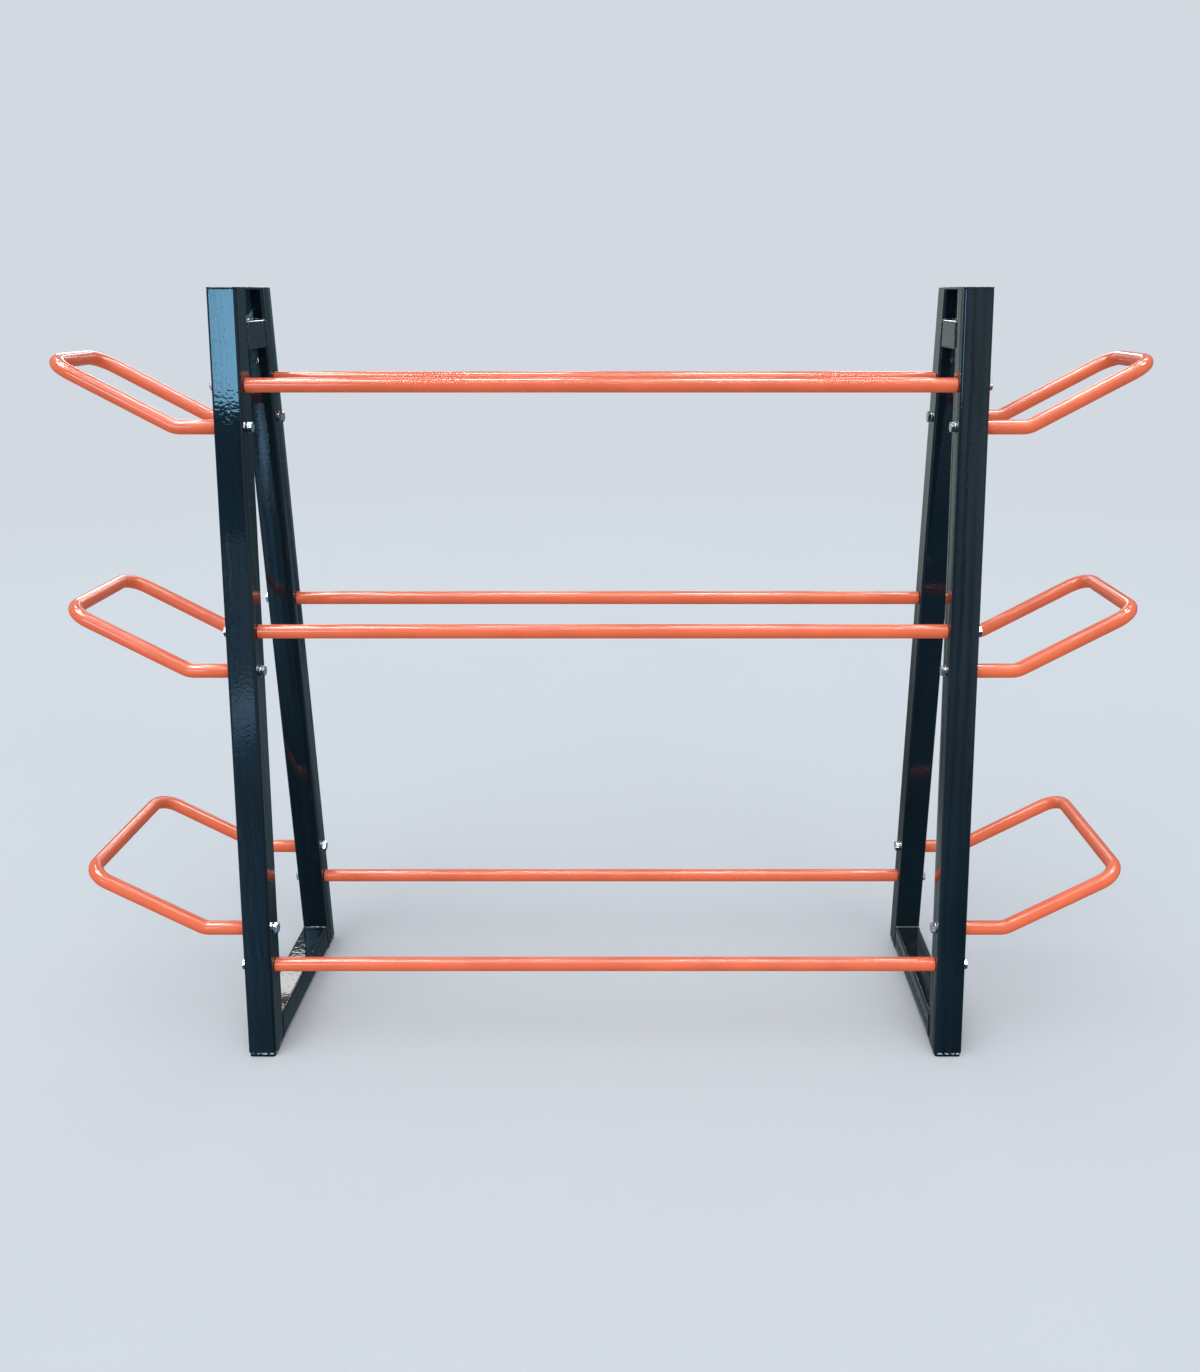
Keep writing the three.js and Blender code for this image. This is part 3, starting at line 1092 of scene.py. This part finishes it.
def floor_material():
    """Pale matt floor that fades into the studio and leaves reflections to the surroundings."""
    finishes = bpy.context.scene.rack_finishes
    material, tree, shader, coordinates = new_material("studio_floor")
    mottle = remap(tree, noise(tree, coordinates, 1.3, 5.0), 0.3, 0.7)
    colour = tuple(finishes.floor_colour)
    base = blend_colour(tree, mottle, colour, shaded(colour, 0.99))
    tree.links.new(base, shader.inputs["Base Color"])
    shader.inputs["Roughness"].default_value = 1.0
    shader.inputs["Specular IOR Level"].default_value = 0.0
    reach = node(tree, "ShaderNodeVectorMath", operation="LENGTH")
    tree.links.new(coordinates, reach.inputs[0])
    fade = remap(tree, reach.outputs["Value"], *FLOOR_FADE, 1.0, 0.0)
    path = node(tree, "ShaderNodeLightPath")
    kept = maths(tree, "SUBTRACT", 1.0, path.outputs["Is Glossy Ray"])
    tree.links.new(maths(tree, "MULTIPLY", fade, kept), shader.inputs["Alpha"])
    return material


def ramp(tree, value, stops):
    """Colours along a value between -1 and 1; stops are (value, colour)."""
    made = node(tree, "ShaderNodeValToRGB")
    band = made.color_ramp
    while len(band.elements) < len(stops):
        band.elements.new(0.5)
    for element, (at, colour) in zip(band.elements, stops):
        element.position = (at + 1) / 2
        element.color = (*colour, 1)
    scaled = node(tree, "ShaderNodeMapRange")
    scaled.inputs["From Min"].default_value = -1.0
    tree.links.new(value, scaled.inputs["Value"])
    tree.links.new(scaled.outputs["Result"], made.inputs["Fac"])
    return made.outputs["Color"]


# What reflections see in four directions: (sine of the height angle, colour) from the floor up.
HALL_FRONT_LEFT = (
    (-0.9, (0.02, 0.04, 0.06)), (-0.5, (0.03, 0.07, 0.11)), (-0.36, (0.18, 0.38, 0.6)),
    (-0.2, (0.16, 0.34, 0.55)), (0.02, (0.08, 0.24, 0.42)), (0.4, (0.3, 0.42, 0.5)),
    (1.0, (0.5, 0.52, 0.55)))
HALL_FRONT_RIGHT = (
    (-0.9, (0.02, 0.03, 0.05)), (-0.5, (0.03, 0.06, 0.09)), (-0.33, (0.06, 0.16, 0.26)),
    (-0.14, (0.44, 0.56, 0.66)), (0.02, (0.42, 0.52, 0.6)), (0.4, (0.4, 0.46, 0.5)),
    (1.0, (0.5, 0.52, 0.55)))
HALL_BACK_LEFT = (
    (-0.9, (0.1, 0.12, 0.13)), (-0.5, (0.2, 0.24, 0.26)), (-0.2, (0.26, 0.3, 0.3)),
    (0.0, (0.31, 0.37, 0.36)), (0.2, (0.36, 0.41, 0.4)), (0.5, (0.5, 0.55, 0.58)),
    (1.0, (0.6, 0.62, 0.65)))
HALL_BACK_RIGHT = (
    (-0.9, (0.08, 0.1, 0.12)), (-0.5, (0.12, 0.17, 0.2)), (-0.2, (0.13, 0.2, 0.25)),
    (0.0, (0.15, 0.24, 0.29)), (0.2, (0.2, 0.29, 0.34)), (0.5, (0.4, 0.47, 0.52)),
    (1.0, (0.6, 0.62, 0.65)))


def surroundings(finishes):
    """A flat pale studio; reflections see a darker hall with soft upright streaks."""
    world = bpy.data.worlds.new("studio")
    world.use_nodes = True
    tree = world.node_tree
    background = tree.nodes["Background"]
    direction = node(tree, "ShaderNodeTexCoord").outputs["Generated"]
    split = node(tree, "ShaderNodeSeparateXYZ")
    tree.links.new(direction, split.inputs["Vector"])
    height = split.outputs["Z"]
    right = remap(tree, split.outputs["X"], -0.2, 0.2)
    back = remap(tree, split.outputs["Y"], -0.3, 0.5)
    parts = [
        blend_colour(tree, right, ramp(tree, height, on_left), ramp(tree, height, on_right))
        for on_left, on_right in (
            (HALL_FRONT_LEFT, HALL_FRONT_RIGHT), (HALL_BACK_LEFT, HALL_BACK_RIGHT))]
    hall = blend_colour(tree, back, *parts)
    upright = stretched(tree, direction, (1.0, 1.0, 0.14))
    streaks = remap(tree, noise(tree, upright, 14.0, 4.0), 0.32, 0.72, 0.4, 1.8)
    streaked = node(tree, "ShaderNodeVectorMath", operation="SCALE")
    tree.links.new(hall, streaked.inputs[0])
    tree.links.new(streaks, streaked.inputs["Scale"])
    path = node(tree, "ShaderNodeLightPath")
    ambient = blend_colour(
        tree, path.outputs["Is Camera Ray"],
        tuple(finishes.ambient_colour), tuple(finishes.studio_colour))
    seen = blend_colour(tree, path.outputs["Is Glossy Ray"], ambient, streaked.outputs[0])
    tree.links.new(seen, background.inputs["Color"])
    return world


def point_at(target, at):
    """The turn that makes a light at a place shine at a target."""
    return (Vector(target) - Vector(at)).to_track_quat("-Z", "Y").to_euler()


def reflected_panel(name, at, target, size, strength, colour):
    """A softbox that only shows in reflections."""
    deselect()
    bpy.ops.object.light_add(type="AREA", location=at, rotation=point_at(target, at))
    light = bpy.context.active_object
    light.name = name
    light.data.shape = "RECTANGLE"
    light.data.size, light.data.size_y = size
    light.data.energy = strength * math.pi * size[0] * size[1]
    light.data.color = colour
    light.visible_camera = False
    light.visible_diffuse = False


def soft_light(name, way, spread, strength):
    """A wide sun that shines this way and stays out of reflections."""
    deselect()
    bpy.ops.object.light_add(type="SUN", rotation=point_at(way, (0, 0, 0)))
    sun = bpy.context.active_object
    sun.name = name
    sun.data.angle = math.radians(spread)
    sun.data.energy = strength
    sun.visible_glossy = False


def hall_lights():
    """The panels, lamps, columns and windows that the gloss paint mirrors."""
    for name, x, z, width, tall, strength in BACK_PANELS:
        reflected_panel(name, (x, BACK_WALL, z), (x, 0, z), (width, tall), strength, WHITE)
    for side in SIDES.values():
        for i, x in enumerate(LAMPS):
            y = LAMP_ROW[0] + LAMP_ROW[1] * x
            reflected_panel(
                f"lamp_{side}_{i}", (x * side, y, CEILING), (x * side, y, 0),
                LAMP_SIZE, LAMP_BRIGHTNESS, WHITE)
    for name, x, y, width, breadth, strength in CEILING_PANELS:
        reflected_panel(name, (x, y, CEILING), (x, y, 0), (width, breadth), strength, WHITE)
    for name, x, width, z, tall, strength in COLUMNS:
        reflected_panel(
            name, (x, COLUMN_ROW, z), (-0.6, 0, 1.0), (width, tall), strength, COLUMN_BLUE)
    for i, (left, right) in enumerate(WINDOWS):
        x = (left + right) / 2
        reflected_panel(
            f"window_{i}", (x, FRONT_WALL, WINDOW_HEIGHT), (x, 0, WINDOW_HEIGHT),
            (right - left, WINDOW_TALL), WINDOW_BRIGHTNESS, SKY)
    above = (GLEAM_AT[0], GLEAM_AT[1], CEILING)
    for i, (run, strength) in enumerate(GLEAMS):
        reflected_panel(
            f"floor_gleam_{i}", GLEAM_AT, above, (GLEAM_WIDTH, run), strength, GLEAM_BLUE)


class RACK_OT_stage(bpy.types.Operator):
    """Build the floor, the lights and the camera"""

    bl_idname = "rack.stage"
    bl_label = "Stage"

    def execute(self, context):
        scene = context.scene
        deselect()
        bpy.ops.mesh.primitive_circle_add(
            vertices=96, radius=FLOOR_RADIUS, fill_type="NGON", location=(0, 0, 0))
        floor = bpy.context.active_object
        floor.name = "studio_floor"
        floor.data.materials.append(floor_material())
        scene.world = surroundings(scene.rack_finishes)

        soft_light("soft_sun", (0.25, 0.35, -1.0), 70, 1.1)
        soft_light("front_fill", (0.1, 0.8, -0.6), 80, 0.9)
        hall_lights()
        scene.view_settings.view_transform = "Standard"

        deselect()
        bpy.ops.object.camera_add(location=CAMERA_AT, rotation=(math.pi / 2 - CAMERA_DIP, 0, 0))
        camera = bpy.context.active_object
        camera.name = "camera"
        camera.data.sensor_width = CAMERA_SENSOR
        camera.data.lens = CAMERA_LENS
        camera.data.shift_x, camera.data.shift_y = CAMERA_SHIFT
        camera.data.clip_end = CAMERA_REACH
        scene.camera = camera
        return {"FINISHED"}


# ---------------------------------------------------------------- panel


PIECE_OPERATORS = (
    RACK_OT_legs,
    RACK_OT_rails,
    RACK_OT_plates,
    RACK_OT_bars,
    RACK_OT_loops,
    RACK_OT_bolts,
    RACK_OT_welds,
    RACK_OT_stage,
)


class RACK_PT_panel(bpy.types.Panel):
    """Builds the rack piece by piece"""

    bl_idname = "RACK_PT_panel"
    bl_label = "Dumbbell Rack"
    bl_space_type = "VIEW_3D"
    bl_region_type = "UI"
    bl_category = "Dumbbell Rack"

    def draw(self, context):
        layout = self.layout
        for made in PIECE_OPERATORS:
            layout.operator(made.bl_idname)
        for group in (context.scene.rack_sizes, context.scene.rack_finishes):
            box = layout.box()
            for key in group.__annotations__:
                box.prop(group, key)


CLASSES = (RackSizes, RackFinishes, *PIECE_OPERATORS, RACK_PT_panel)


def register():
    for made in CLASSES:
        bpy.utils.register_class(made)
    bpy.types.Scene.rack_sizes = PointerProperty(type=RackSizes)
    bpy.types.Scene.rack_finishes = PointerProperty(type=RackFinishes)


def unregister():
    del bpy.types.Scene.rack_finishes
    del bpy.types.Scene.rack_sizes
    for made in reversed(CLASSES):
        bpy.utils.unregister_class(made)


def main():
    register()
    for made in PIECE_OPERATORS:
        group, call = made.bl_idname.split(".")
        getattr(getattr(bpy.ops, group), call)()


if __name__ == "__main__":
    main()
